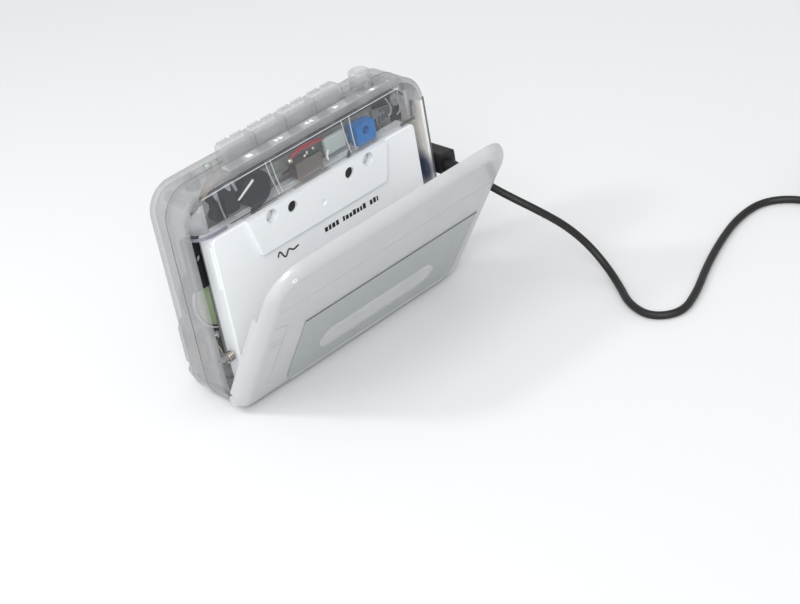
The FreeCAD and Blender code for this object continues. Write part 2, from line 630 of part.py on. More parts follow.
def key(x):
    half = KEY_WIDTH / 2
    cap = key_row().common(box((x - half, x + half), (0, 30), (80, 100)))
    stem = box((x - STEM_HALF, x + STEM_HALF), STEM_Y, (STEM_LOW, KEY_LOW + 0.1))
    wide, deep = (x - half + 1.4, x + half - 1.4), (KEY_Y[0] + 1.4, STEM_Y[0] - 0.4)
    hollow = box(wide, deep, (KEY_LOW - 1, KEY_TOP - 1.8))
    return join(cut(join(cap, stem), hollow), *key_ribs(x))


def record_key():
    cap = rod_z(RECORD_X, RECORD_Y, RECORD_R, (KEY_LOW + 0.5, RECORD_TOP))
    cap = cap.makeFillet(0.9, [e for e in cap.Edges if e.CenterOfMass.z > RECORD_TOP - 0.01])
    dish = Part.makeSphere(12.0, V(RECORD_X, RECORD_Y, RECORD_TOP + 11.6))
    stem = box((RECORD_X - 2.0, RECORD_X + 2.0), STEM_Y, (STEM_LOW, KEY_LOW + 0.6))
    return join(cut(cap, dish), stem)


def key_guide():
    """The slotted bar that the key stems slide in."""
    bar = box((-34, 44), (PLATE_BACK + 0.1, 15.6), (76.0, 79.0))
    half, deep = STEM_HALF + 0.2, (STEM_Y[0] - 0.15, STEM_Y[1] + 0.15)
    return cut(bar, *[box((x - half, x + half), deep, (75, 80)) for x in KEY_X + [RECORD_X]])


def key_springs():
    """Leaf springs below the stems, drawn as far down as a pressed key takes them."""
    low = STEM_LOW - KEY_TRAVEL - 0.7
    leaves = []
    for x in KEY_X + [RECORD_X]:
        leaf = box((x - 1.2, x + 5.4), (12.6, 14.6), (low, low + 0.3))
        leaves.append(join(leaf, box((x + 5.1, x + 5.4), (12.6, 14.6), (low, 76.0))))
    return leaves


# ---- electrics at the edges ----
def power_socket():
    body = rounded(box((45.5, 56.9), (12.9, 19.5), (POWER_Z - 4.2, POWER_Z + 4.2)), V(1, 0, 0), 0.8)
    nose = rod_x(JACK_Y, POWER_Z, 3.9, (56.0, 58.8))
    return cut(join(body, nose), rod_x(JACK_Y, POWER_Z, SOCKET_R, (47.5, 60)))


def phone_socket():
    body = rounded(box((44.0, 56.9), (13.1, 19.5), (PHONE_Z - 3.6, PHONE_Z + 3.6)), V(1, 0, 0), 0.8)
    nose = rod_x(JACK_Y, PHONE_Z, 3.0, (56.0, 59.3))
    return cut(join(body, nose), rod_x(JACK_Y, PHONE_Z, SOCKET_R, (45.3, 60)))


def volume_wheel():
    wheel = rod_y(VOLUME_X, VOLUME_Z, VOLUME_R, VOLUME_Y)
    notches = []
    for i in range(30):
        notch = rod_y(VOLUME_X + VOLUME_R + 0.15, VOLUME_Z, 0.4, (13, 19))
        notch.rotate(V(VOLUME_X, 0, VOLUME_Z), V(0, 1, 0), 12 * i)
        notches.append(notch)
    hub_pin = rod_y(VOLUME_X, VOLUME_Z, 1.5, (17.4, 18.1))
    return join(cut(wheel, *notches), hub_pin)


def microphone():
    can = rod_z(MIC_X, MIC_Y, MIC_R, (81.2, 85.9))
    return cut(can, rod_z(MIC_X, MIC_Y, 0.6, (84.0, 87)))


def lamp():
    dome = Part.makeSphere(LAMP_R, V(LAMP_X, LAMP_Y, 87.0))
    flange = rod_z(LAMP_X, LAMP_Y, LAMP_R + 0.4, (82.0, 83.0))
    return join(rod_z(LAMP_X, LAMP_Y, LAMP_R, (82.0, 87.0)), dome, flange)


# ---- batteries ----
def battery_tray():
    x = (-50.7, 50.7)
    floor = box(x, (14.9, 16.0), (6.6, 25.4))
    top = box(x, (14.9, 22.2), (24.3, 25.4))
    low = box(x, (14.9, 22.2), (6.6, 7.7))
    return join(floor, top, low)


def battery_cells():
    cells = []
    for start in (-CELL_LENGTH, 0.0):
        can = rod_x(CELL_Y, CELL_Z, CELL_R, (start + 0.1, start + CELL_LENGTH - 1.3))
        cells.append(join(can, rod_x(CELL_Y, CELL_Z, 2.7, (start + CELL_LENGTH - 1.4, start + CELL_LENGTH))))
    return cells


def battery_contacts():
    plate = box((50.6, 51.2), (19.0, 28.0), (11.5, 20.5))
    spring_plate = mirrored(box((51.1, 51.7), (19.0, 28.0), (11.5, 20.5)))
    return [plate, spring_plate]


def battery_door():
    plate = box((-40.0, 40.0), (BUMP_BACK - WALL, BUMP_BACK), (4.8, BUMP_TOP - 1.0))
    plate = rounded(plate, V(0, 1, 0), 2.0, lambda c: c.z < 10)
    plate = rounded(plate, V(1, 0, 0), 1.5, lambda c: c.z > 20 and c.y > BUMP_BACK - 0.1)
    grip = (BUMP_BACK - 0.1, BUMP_BACK + 0.5)
    ribs = [box((-9, 9), grip, (19 + 1.8 * i, 19.9 + 1.8 * i)) for i in range(4)]
    return join(plate, *ribs)


# ---- power lead ----
def tube(points, radius):
    """A round tube along straight runs joined by tangent arcs."""
    edges = []
    radii = []
    start = points[0]
    for before, corner, after in zip(points, points[1:], points[2:]):
        run_in, run_out = corner - before, after - corner
        turn = run_in.getAngle(run_out)
        reach = 0.45 * min(run_in.Length, run_out.Length)
        u, w = V(run_in).normalize(), V(run_out).normalize()
        arc_start, arc_end = corner - u * reach, corner + w * reach
        arc_radius = reach / math.tan(turn / 2)
        inward = (w - u).normalize()
        middle = corner + inward * (arc_radius / math.cos(turn / 2) - arc_radius)
        edges.append(Part.LineSegment(start, arc_start).toShape())
        edges.append(Part.Arc(arc_start, middle, arc_end).toShape())
        radii.append(arc_radius)
        start = arc_end
    edges.append(Part.LineSegment(start, points[-1]).toShape())
    path = Part.Wire(edges)
    profile = Part.Wire([Part.Circle(points[0], points[1] - points[0], radius).toShape()])
    solid = path.makePipeShell([profile], True, False)
    expected = math.pi * radius ** 2 * path.Length
    print(f"tube r {radius} length {path.Length:.1f} tightest arc {min(radii):.1f} "
          f"volume {solid.Volume:.1f} expected {expected:.1f}")
    return solid


def power_plug():
    """A right-angle plug: its pin enters the case's side and its body points to the front."""
    body = box(PLUG_X, (PLUG_FRONT, JACK_Y + 4.2), (POWER_Z - 4.4, POWER_Z + 4.4))
    body = rounded(body, V(0, 1, 0), 1.6)
    body = rounded(body, V(0, 0, 1), 2.6, lambda c: c.y > JACK_Y)
    tip = V(CORD_EXIT.x, PLUG_FRONT, CORD_EXIT.z + 0.7)
    lean = CORD_EXIT - tip
    relief = Part.makeCone(3.0, CORD_R + 0.4, lean.Length, tip, lean)
    inside = Part.makeCylinder(3.0, 2.0, tip - V(lean).normalize() * 2.0, lean)
    collar = rod_x(JACK_Y, POWER_Z, 3.0, (58.9, 60.5))
    pin = rod_x(JACK_Y, POWER_Z, SOCKET_R - FIT, (49.5, 60.5))
    return join(body, relief, inside, collar, pin)


def cord_coil():
    outer = rod_z(COIL_X, COIL_Y, COIL_RADII[1], (0, COIL_HEIGHT))
    ring = cut(outer, rod_z(COIL_X, COIL_Y, COIL_RADII[0], (-1, COIL_HEIGHT + 1)))
    return ring.makeFillet(1.3, [e for e in ring.Edges if e.Curve.TypeId == "Part::GeomCircle"])


def far_plug():
    """The flat plug at the lead's other end, lying on the coil."""
    x, low = COIL_X + 13.0, COIL_HEIGHT + 0.05
    grip = rounded(box((x - 7.5, x + 7.5), (COIL_Y - 12.0, COIL_Y + 10.0), (low, low + 7.6)), V(0, 1, 0), 1.8)
    shell = box((x - 6.0, x + 6.0), (COIL_Y + 9.5, COIL_Y + 22.0), (low + 1.55, low + 6.05))
    mouth = box((x - 5.6, x + 5.6), (COIL_Y + 14.0, COIL_Y + 23.0), (low + 1.95, low + 3.6))
    sleeve = Part.makeCone(CORD_R + 0.4, 2.8, 7.0, V(x, COIL_Y - 19.0, low + 3.8), V(0, 1, 0))
    return join(cut(join(grip, shell), mouth), sleeve)


def save_all():
    save("front_shell", front_shell())
    save("rear_shell", rear_shell())
    save("head_cover", head_cover())
    save("label_strip", label_strip())
    save("case_screws", *case_screws())
    save("hinge_pins", *hinge_pins())
    save("door_spring", door_spring())
    for name, piece in (("door", door()), ("door_panel", door_panel()), ("door_window", door_window())):
        save(name, opened(piece))
    save("door_leaf_springs", *[opened(leaf) for leaf in leaf_springs()])
    save("cassette_front_half", cassette_front())
    save("cassette_rear_half", cassette_rear())
    save("cassette_guide_rollers", *guide_rollers())
    save("cassette_pressure_pad", pressure_pad())
    for name, x, radius in (("supply", HUB_X, SUPPLY_PACK_R), ("takeup", -HUB_X, TAKEUP_PACK_R)):
        save(name + "_hub", hub(x))
        save(name + "_tape", tape_pack(x, radius))
        save(name + "_spindle", spindle(x))
    save("chassis_plate", chassis_plate())
    save("locating_pins", *locating_pins())
    save("bearings", *bearings())
    save("flywheel", flywheel())
    save("capstan", capstan())
    save("motor", motor())
    save("motor_pulley", motor_pulley())
    save("drive_belt", drive_belt())
    save("head_carriage", head_carriage())
    save("record_play_head", record_play_head())
    save("erase_head", erase_head())
    save("pinch_arm", pinch_arm())
    save("pinch_roller", pinch_roller())
    save("head_leads", *head_leads())
    save("main_board", main_board())
    save("board_parts", *board_parts())
    save("board_screws", *board_screws())
    for name, x in zip(KEY_NAMES, KEY_X):
        save("key_" + name, key(x))
    save("key_record", record_key())
    save("key_guide", key_guide())
    save("key_springs", *key_springs())
    save("power_socket", power_socket())
    save("headphone_socket", phone_socket())
    save("volume_wheel", volume_wheel())
    save("microphone", microphone())
    save("power_lamp", lamp())
    save("battery_tray", battery_tray())
    save("battery_cells", *battery_cells())
    save("battery_contacts", *battery_contacts())
    save("battery_door", battery_door())
    save("power_plug", power_plug())
    save("cord_tube", tube(CORD_ROUTE, CORD_R))
    save("cord_coil", cord_coil())
    save("cord_far_plug", far_plug())


os.makedirs("parts", exist_ok=True)
save_all()
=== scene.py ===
import json
import math
import random

import bmesh
import bpy
from mathutils import Matrix, Vector


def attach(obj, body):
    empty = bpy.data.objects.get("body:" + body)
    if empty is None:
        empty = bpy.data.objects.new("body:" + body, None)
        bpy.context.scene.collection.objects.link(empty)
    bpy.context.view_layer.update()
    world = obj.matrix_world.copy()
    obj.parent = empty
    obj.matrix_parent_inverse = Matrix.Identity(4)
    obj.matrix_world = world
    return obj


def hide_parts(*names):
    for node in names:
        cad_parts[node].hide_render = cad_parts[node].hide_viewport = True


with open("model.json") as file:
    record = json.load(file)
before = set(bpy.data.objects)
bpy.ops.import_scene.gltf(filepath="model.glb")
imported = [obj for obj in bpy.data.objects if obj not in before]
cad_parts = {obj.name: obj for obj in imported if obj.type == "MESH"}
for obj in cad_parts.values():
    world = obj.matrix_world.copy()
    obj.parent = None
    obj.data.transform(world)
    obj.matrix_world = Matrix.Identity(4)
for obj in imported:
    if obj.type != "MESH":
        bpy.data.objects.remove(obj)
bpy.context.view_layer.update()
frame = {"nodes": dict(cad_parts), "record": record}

MM = 0.001
SEAM = 12.0   # depth of the shells' parting line behind the front cover's plane, where the frame's Y is 0

# ---- places on the object, in millimetres ----
CASE_CORNER_R = 12.0
CASE_CORNER_X, CASE_CORNER_LOW, CASE_CORNER_HIGH = 47.0, 12.0, 76.0   # centres of the case's corners
TAPE_HALF_W = 50.2
LOCATING_X, LOCATING_Z = 14.2, 65.6
CAPSTAN_HOLE_X, CAPSTAN_HOLE_Z = 24.0, 66.6
MOTOR_X, MOTOR_Z, MOTOR_FRONT = -43.1, 40.2, 12.2
STRIP_TOP = 88.3
SYMBOL_X = (-22.6, -8.3, 6.0, 20.0)
COVER_END_R = 7.4       # the head cover's rounded ends, seen from above
COVER_END_X = 49.2      # the middle of that rounding
# height of the painted shadow line under the head cover's lip
LIP_SHADOW_Z = 70.34
DOOR_FACE = -5.0
DOOR_HALF_W = 58.6
DOOR_OPEN = math.radians(32.0)
PIVOT_Y, PIVOT_Z = -0.5, 5.8
PANEL_LEFT = -36.55
PANEL_TOP = 45.55


def at(x, y, z):
    """A point in millimetres, its depth taken from the front cover's plane, given in the frame's metres."""
    return Vector((x * MM, (y - SEAM) * MM, z * MM))


# ---- camera ----
EYE = (-357.3, -473.3, 368.0)


def camera():
    """Looks down on the open door from the front left."""
    data = bpy.data.cameras.new("camera")
    data.sensor_width = 36.0
    data.lens = 82.26
    data.clip_start = 0.01
    data.clip_end = 20.0
    eye = bpy.data.objects.new("camera", data)
    forward = Vector((0.5408, 0.6650, -0.5150)).normalized()
    right = Vector((0.7021, -0.6941, -0.1590)).normalized()
    up = right.cross(forward).normalized()
    right = forward.cross(up)
    turn = Matrix((right, up, -forward)).transposed()
    eye.matrix_world = Matrix.Translation(at(*EYE)) @ turn.to_4x4()
    bpy.context.scene.collection.objects.link(eye)
    bpy.context.scene.camera = eye


# ---- power lead ----
CORD_R = 1.5
ROUTE = [
    (63.3, -10.0, 44.3), (63.6, -19.0, 42.0), (66.0, -29.5, 37.5), (71.5, -38.5, 31.0), (79.5, -43.5, 22.0),
    (85.5, -48.5, 12.0), (86.0, -56.5, 4.0), (80.5, -67.0, 1.5), (72.5, -78.0, 1.5), (69.5, -90.5, 1.5),
    (78.0, -99.0, 1.5), (92.5, -94.5, 1.5), (108.0, -87.0, 1.5), (126.0, -80.0, 1.5), (144.0, -75.0, 1.5),
    (159.5, -75.5, 1.5), (168.0, -85.5, 1.5), (169.0, -99.0, 1.5),
]
COIL_X, COIL_Y = 191.0, -104.0


def coil_points():
    """Turns from the outside in on the floor, then a second layer in the grooves, from the inside out."""
    lower, upper = (22.0, 18.95, 15.9, 12.9), (14.4, 17.4, 20.45)
    layer_rise = 2.62
    steady = 0.6   # share of each turn that keeps one radius before it moves to the next
    steps = 16
    points = []
    angle = math.pi
    radii = list(lower) + list(upper)
    heights = [CORD_R] * len(lower) + [CORD_R + layer_rise] * len(upper)
    for turn, (radius, height) in enumerate(zip(radii, heights)):
        following = radii[turn + 1] if turn + 1 < len(radii) else radius
        rise = heights[turn + 1] if turn + 1 < len(radii) else height
        for i in range(steps):
            share = max(0.0, (i - steps * steady) / (steps * (1 - steady)))
            r = radius + (following - radius) * share
            z = height + (rise - height) * share
            points.append((COIL_X + r * math.cos(angle), COIL_Y + r * math.sin(angle), z))
            angle += 2 * math.pi / steps
    return points


def cord():
    """The lead from its plug to the coil, ending in the far plug that lies on the coil."""
    tail = [(COIL_X - 14.0, COIL_Y - 16.0, 4.4), (COIL_X - 4.0, COIL_Y - 21.5, 5.4),
            (COIL_X + 7.0, COIL_Y - 24.0, 7.6), (COIL_X + 12.4, COIL_Y - 21.5, 9.3),
            (COIL_X + 13.0, COIL_Y - 18.0, 9.55)]
    points = ROUTE + coil_points()[1:] + tail
    curve = bpy.data.curves.new("power_lead", "CURVE")
    curve.dimensions = "3D"
    curve.bevel_depth = CORD_R * MM
    curve.bevel_resolution = 5
    curve.resolution_u = 8
    curve.use_fill_caps = True
    spline = curve.splines.new("NURBS")
    spline.points.add(len(points) - 1)
    for target, p in zip(spline.points, points):
        target.co = (*at(*p), 1.0)
    spline.order_u = 3
    spline.use_endpoint_u = True
    lead = bpy.data.objects.new("power_lead", curve)
    bpy.context.scene.collection.objects.link(lead)
    curve.materials.append(FINISH["cord_black"])
    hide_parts("cord_tube", "cord_coil")
    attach(lead, "case")


# ---- materials ----
def blank(name):
    material = bpy.data.materials.new(name)
    material.use_nodes = True
    nodes = material.node_tree.nodes
    return material, nodes, material.node_tree.links, nodes["Principled BSDF"]


def coordinates(nodes):
    return nodes.new("ShaderNodeTexCoord").outputs["Object"]


def noise(nodes, links, scale, detail=4.0, roughness=0.55):
    texture = nodes.new("ShaderNodeTexNoise")
    texture.inputs["Scale"].default_value = scale
    texture.inputs["Detail"].default_value = detail
    texture.inputs["Roughness"].default_value = roughness
    links.new(coordinates(nodes), texture.inputs["Vector"])
    return texture.outputs["Fac"]


def remap(nodes, links, source, low, high):
    node = nodes.new("ShaderNodeMapRange")
    node.inputs["To Min"].default_value = low
    node.inputs["To Max"].default_value = high
    links.new(source, node.inputs["Value"])
    return node.outputs["Result"]


def mixed_colour(nodes, links, factor, first, second):
    node = nodes.new("ShaderNodeMix")
    node.data_type = "RGBA"
    node.inputs["A"].default_value = (*first, 1)
    node.inputs["B"].default_value = (*second, 1)
    links.new(factor, node.inputs["Factor"])
    return node.outputs["Result"]


def bump(nodes, links, shader, height, strength, distance):
    node = nodes.new("ShaderNodeBump")
    node.inputs["Strength"].default_value = strength
    node.inputs["Distance"].default_value = distance
    links.new(height, node.inputs["Height"])
    links.new(node.outputs["Normal"], shader.inputs["Normal"])


def plastic(name, colour, rough=0.4, grain=0.03, scale=1300.0, tone=0.06, specular=0.5):
    """Moulded plastic: a fine grain, slight tone and gloss variation."""
    material, nodes, links, shader = blank(name)
    darker = tuple(c * (1 - tone) for c in colour)
    lighter = tuple(min(1.0, c * (1 + tone)) for c in colour)
    broad = noise(nodes, links, 60.0)
    links.new(mixed_colour(nodes, links, broad, darker, lighter), shader.inputs["Base Color"])
    gloss = remap(nodes, links, noise(nodes, links, 240.0), rough - 0.06, rough + 0.08)
    links.new(gloss, shader.inputs["Roughness"])
    shader.inputs["Specular IOR Level"].default_value = specular
    bump(nodes, links, shader, noise(nodes, links, scale), grain, 0.0001)
    return material


def rubber(name, colour, rough=0.6):
    return plastic(name, colour, rough, grain=0.12, scale=1800.0, tone=0.2)


def metal(name, colour, rough=0.3, brushed=(1, 1, 30)):
    """Metal with fine machining marks across one direction."""
    material, nodes, links, shader = blank(name)
    shader.inputs["Metallic"].default_value = 1.0
    mapping = nodes.new("ShaderNodeMapping")
    mapping.inputs["Scale"].default_value = brushed
    links.new(coordinates(nodes), mapping.inputs["Vector"])
    texture = nodes.new("ShaderNodeTexNoise")
    texture.inputs["Scale"].default_value = 300.0
    texture.inputs["Detail"].default_value = 3.0
    links.new(mapping.outputs["Vector"], texture.inputs["Vector"])
    marks = texture.outputs["Fac"]
    darker = tuple(c * 0.82 for c in colour)
    links.new(mixed_colour(nodes, links, marks, darker, colour), shader.inputs["Base Color"])
    links.new(remap(nodes, links, marks, rough - 0.08, rough + 0.12), shader.inputs["Roughness"])
    bump(nodes, links, shader, marks, 0.1, 0.00005)
    return material


def clear_plastic(name, colour, face, edge, rough=0.12, cloud=0.0, blend=0.35, rim=None, coat=0.6):
    """See-through plastic: thin when looked through squarely, denser at its edges, where its colour turns to
    the darker rim colour as painted shade for the refraction seen there.
    """
    material, nodes, links, shader = blank(name)
    facing = nodes.new("ShaderNodeLayerWeight")
    facing.inputs["Blend"].default_value = blend
    alpha = remap(nodes, links, facing.outputs["Facing"], face, edge)
    if cloud:
        haze = remap(nodes, links, noise(nodes, links, 55.0), -cloud, cloud)
        total = nodes.new("ShaderNodeMath")
        total.operation = "ADD"
        total.use_clamp = True
        links.new(alpha, total.inputs[0])
        links.new(haze, total.inputs[1])
        alpha = total.outputs["Value"]
    links.new(alpha, shader.inputs["Alpha"])
    # painted shade: towards grazing angles the colour turns to the darker rim colour, standing in for
    # refraction at the edges
    rim = rim or tuple(c * 0.6 for c in colour)
    links.new(mixed_colour(nodes, links, facing.outputs["Facing"], colour, rim), shader.inputs["Base Color"])
    gloss = remap(nodes, links, noise(nodes, links, 300.0), rough * 0.7, rough * 1.5)
    links.new(gloss, shader.inputs["Roughness"])
    shader.inputs["IOR"].default_value = 1.6 if coat else 1.3
    shader.inputs["Coat Weight"].default_value = coat
    shader.inputs["Coat Roughness"].default_value = 0.06
    bump(nodes, links, shader, noise(nodes, links, 110.0, detail=2.0), 0.06, 0.0004)
    return material


def finishes():
    return {
        "smoke_clear": clear_plastic("smoke_clear", (0.46, 0.465, 0.465), 0.30, 0.80, 0.16, cloud=0.05,
                                     rim=(0.24, 0.24, 0.245)),
        "key_clear": clear_plastic("key_clear", (0.54, 0.555, 0.55), 0.30, 0.78, 0.12, cloud=0.10,
                                   rim=(0.36, 0.365, 0.37)),
        "clear": clear_plastic("clear", (0.56, 0.57, 0.60), 0.01, 0.70, 0.05, blend=0.14,
                               rim=(0.38, 0.38, 0.42), coat=0.0),
        "window_clear": clear_plastic("window_clear", (0.80, 0.81, 0.82), 0.25, 0.65, 0.15, cloud=0.05,
                                      rim=(0.7, 0.7, 0.7)),
        "frosted": clear_plastic("frosted", (0.60, 0.605, 0.61), 0.78, 0.95, 0.36, cloud=0.05,
                                 rim=(0.50, 0.505, 0.515)),
        "hatch_strip": clear_plastic("hatch_strip", (0.46, 0.47, 0.48), 0.86, 0.95, 0.3,
                                     rim=(0.36, 0.36, 0.37)),
        "lamp_clear": clear_plastic("lamp_clear", (0.50, 0.62, 0.54), 0.55, 0.9, 0.1),
        "steel": metal("steel", (0.60, 0.60, 0.61), 0.28),
        "spring_steel": metal("spring_steel", (0.62, 0.57, 0.50), 0.22),
        "silver_panel": panel_metal(),
        "cassette_white": plastic("cassette_white", (0.86, 0.885, 0.90), 0.34, tone=0.015),
        "white_plastic": plastic("white_plastic", (0.72, 0.72, 0.71), 0.4),
        "felt": plastic("felt", (0.45, 0.36, 0.27), 0.9, grain=0.5, scale=900.0),
        "tape_brown": plastic("tape_brown", (0.06, 0.03, 0.02), 0.25),
        # black_plastic also paints the shade on the blue head block's right side
        "black_plastic": plastic("black_plastic", (0.006, 0.008, 0.012), 0.45, grain=0.01, scale=150.0,
                                 tone=0.3, specular=0.3),
        "dark_plate": plastic("dark_plate", (0.24, 0.25, 0.24), 0.4),
        "brass": metal("brass", (0.70, 0.50, 0.24), 0.28),
        "motor_can": metal("motor_can", (0.22, 0.22, 0.23), 0.35),
        "belt_rubber": rubber("belt_rubber", (0.015, 0.015, 0.015)),
        "head_metal": metal("head_metal", (0.36, 0.31, 0.28), 0.3),
        "blue_plastic": plastic("blue_plastic", (0.0, 0.17, 0.50), 0.35, tone=0.12, specular=0.3),
        "roller_rubber": plastic("roller_rubber", (0.005, 0.008, 0.011), 0.5, grain=0.01, scale=150.0,
                                 tone=0.3, specular=0.25),
        "lead_red": plastic("lead_red", (0.42, 0.04, 0.05), 0.3),
        "lead_green": plastic("lead_green", (0.03, 0.10, 0.06), 0.3),
        "board_green": plastic("board_green", (0.02, 0.12, 0.07), 0.3),
        "navy_plastic": plastic("navy_plastic", (0.012, 0.02, 0.06), 0.45),
        "cell_wrap": plastic("cell_wrap", (0.16, 0.17, 0.19), 0.3),
        "cord_black": rubber("cord_black", (0.003, 0.003, 0.0035), 0.5),
        "print_white": plastic("print_white", (0.85, 0.85, 0.85), 0.5),
        # print_black also paints the shadow line under the head cover's lip and the shade in the cassette's
        # locating holes
        "print_black": plastic("print_black", (0.012, 0.012, 0.012), 0.5),
        "label_green": plastic("label_green", (0.41, 0.52, 0.32), 0.45, tone=0.02),
        "lip_tint": clear_plastic("lip_tint", (0.27, 0.25, 0.33), 0.62, 0.9, 0.1),
        "moulded_line": plastic("moulded_line", (0.36, 0.36, 0.37), 0.4),
        "wall_haze": hazy_wall(at(57.0, 5.6, 45.5)),
        "solder": metal("solder", (0.80, 0.72, 0.60), 0.35),
        # painted reflection: the milky layers inside the head cover's rounded ends
        "dome_painted_reflection": clear_plastic("dome_painted_reflection", (0.78, 0.80, 0.82), 0.30, 0.75, 0.1, cloud=0.08,
                                   rim=(0.55, 0.56, 0.58)),
        "sight_grey": plastic("sight_grey", (0.42, 0.42, 0.43), 0.5),
        # rib_and_highlight_white also colours the painted highlight along the head cover's top edge
        "rib_and_highlight_white": plastic("rib_and_highlight_white", (0.62, 0.64, 0.66), 0.2),
        "pale_green": plastic("pale_green", (0.46, 0.53, 0.51), 0.4, tone=0.15),
        "switch_grey": plastic("switch_grey", (0.07, 0.08, 0.09), 0.35),
        "strip_rib": plastic("strip_rib", (0.20, 0.21, 0.22), 0.4),
        "edge_grey": clear_plastic("edge_grey", (0.13, 0.15, 0.17), 0.75, 0.95, 0.2),
        "smoke_dark": clear_plastic("smoke_dark", (0.10, 0.10, 0.105), 0.55, 0.9, 0.2),
        "clear_rib": clear_plastic("clear_rib", (0.62, 0.64, 0.66), 0.28, 0.85, 0.06, rim=(0.30, 0.31, 0.33)),
    }


def panel_metal():
    """Satin metal foil, partly metallic, its marks the same in every direction."""
    material = metal("silver_panel", (0.54, 0.57, 0.57), 0.42, brushed=(1, 1, 1))
    material.node_tree.nodes["Principled BSDF"].inputs["Metallic"].default_value = 0.75
    return material


def hazy_wall(patch):
    """Hazy cream plastic with the blurred shade of the socket behind it."""
    spread = (50.0, 170.0, 120.0)   # how fast the shade fades along each axis, per metre
    material, nodes, links, shader = blank("wall_haze")
    offset = nodes.new("ShaderNodeVectorMath")
    offset.operation = "SUBTRACT"
    links.new(coordinates(nodes), offset.inputs[0])
    offset.inputs[1].default_value = patch
    scaled = nodes.new("ShaderNodeVectorMath")
    scaled.operation = "MULTIPLY"
    links.new(offset.outputs["Vector"], scaled.inputs[0])
    scaled.inputs[1].default_value = spread
    length = nodes.new("ShaderNodeVectorMath")
    length.operation = "LENGTH"
    links.new(scaled.outputs["Vector"], length.inputs[0])
    fade = nodes.new("ShaderNodeMapRange")
    fade.interpolation_type = "SMOOTHSTEP"
    fade.inputs["From Min"].default_value = 0.35
    fade.inputs["From Max"].default_value = 1.25
    links.new(length.outputs["Value"], fade.inputs["Value"])
    links.new(mixed_colour(nodes, links, fade.outputs["Result"], (0.09, 0.11, 0.17), (0.90, 0.88, 0.84)),
              shader.inputs["Base Color"])
    shader.inputs["Roughness"].default_value = 0.4
    bump(nodes, links, shader, noise(nodes, links, 400.0), 0.05, 0.0002)
    return material


def dress(slots):
    """Gives each part of the frame the finish of its slot, and the window lens one of its own."""
    for part in frame["record"]["subparts"]:
        piece = frame["nodes"][part["node"]]
        piece.data.materials.clear()
        piece.data.materials.append(slots[part["material_slot"]])
    frame["nodes"]["door_window"].data.materials[0] = slots["window_clear"]


# ---- piece makers ----
def placed(name, mesh, finish, body, smooth=True):
    """Puts a mesh drawn in millimetres into the frame, on its body."""
    for vertex in mesh.vertices:
        vertex.co = at(*vertex.co)
    mesh.polygons.foreach_set("use_smooth", [smooth] * len(mesh.polygons))
    piece = bpy.data.objects.new(name, mesh)
    bpy.context.scene.collection.objects.link(piece)
    mesh.materials.append(FINISH[finish])
    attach(piece, body)


def from_bmesh(name, bm):
    bmesh.ops.recalc_face_normals(bm, faces=bm.faces)
    mesh = bpy.data.meshes.new(name)
    bm.to_mesh(mesh)
    bm.free()
    return mesh


def prism(bm, outline, low, high):
    """A flat outline of points (a, b) carried from low to high; outline and span meet in (a, b, c)."""
    bottom = [bm.verts.new((a, b, low)) for a, b in outline]
    top = [bm.verts.new((a, b, high)) for a, b in outline]
    bm.faces.new(list(reversed(bottom)))
    bm.faces.new(top)
    for i in range(len(outline)):
        j = (i + 1) % len(outline)
        bm.faces.new((bottom[i], bottom[j], top[j], top[i]))


def facing_front(bm):
    """Turns (x, z, y) as a prism draws it into (x, y, z)."""
    for vertex in bm.verts:
        x, z, y = vertex.co
        vertex.co = (x, y, z)


def soften(bm, width, segments=2, angle=0.5):
    edges = [e for e in bm.edges if len(e.link_faces) == 2 and e.calc_face_angle(0) > angle]
    bmesh.ops.bevel(bm, geom=edges, offset=width, segments=segments, profile=0.6, affect="EDGES",
                    clamp_overlap=True)


def upright_plates(name, outlines, y, finish, body, edge=0.12):
    """Flat moulded pieces seen from the front, each an outline in X and Z."""
    bm = bmesh.new()
    for outline in outlines:
        prism(bm, outline, *y)
    facing_front(bm)
    bmesh.ops.recalc_face_normals(bm, faces=bm.faces)
    soften(bm, edge)
    placed(name, from_bmesh(name, bm), finish, body, smooth=False)


def flat_plates(name, outlines, z, finish, body, edge=0.0):
    """Flat pieces seen from above, each an outline in X and Y."""
    bm = bmesh.new()
    for outline in outlines:
        prism(bm, outline, *z)
    bmesh.ops.recalc_face_normals(bm, faces=bm.faces)
    if edge:
        soften(bm, edge)
    placed(name, from_bmesh(name, bm), finish, body, smooth=False)


def rounded_block(name, low, high, radius, finish, body):
    bm = bmesh.new()
    prism(bm, [(low[0], low[1]), (high[0], low[1]), (high[0], high[1]), (low[0], high[1])], low[2], high[2])
    bmesh.ops.recalc_face_normals(bm, faces=bm.faces)
    soften(bm, radius, segments=4)
    placed(name, from_bmesh(name, bm), finish, body)


def lathe_y(name, x, z, profile, finish, body, steps=64):
    """A turned piece about an axis along Y; profile holds (radius, y), from the axis or round to itself."""
    bm = bmesh.new()
    rings = []
    for radius, y in profile:
        if radius < 1e-6:
            rings.append([bm.verts.new((x, y, z))])
            continue
        ring = []
        for i in range(steps):
            angle = 2 * math.pi * i / steps
            ring.append(bm.verts.new((x + radius * math.cos(angle), y, z + radius * math.sin(angle))))
        rings.append(ring)
    for a, b in zip(rings, rings[1:]):
        for i in range(steps):
            j = (i + 1) % steps
            corners = [a[i % len(a)], a[j % len(a)], b[j % len(b)], b[i % len(b)]]
            unique = list(dict.fromkeys(corners))
            bm.faces.new(unique)
    placed(name, from_bmesh(name, bm), finish, body)


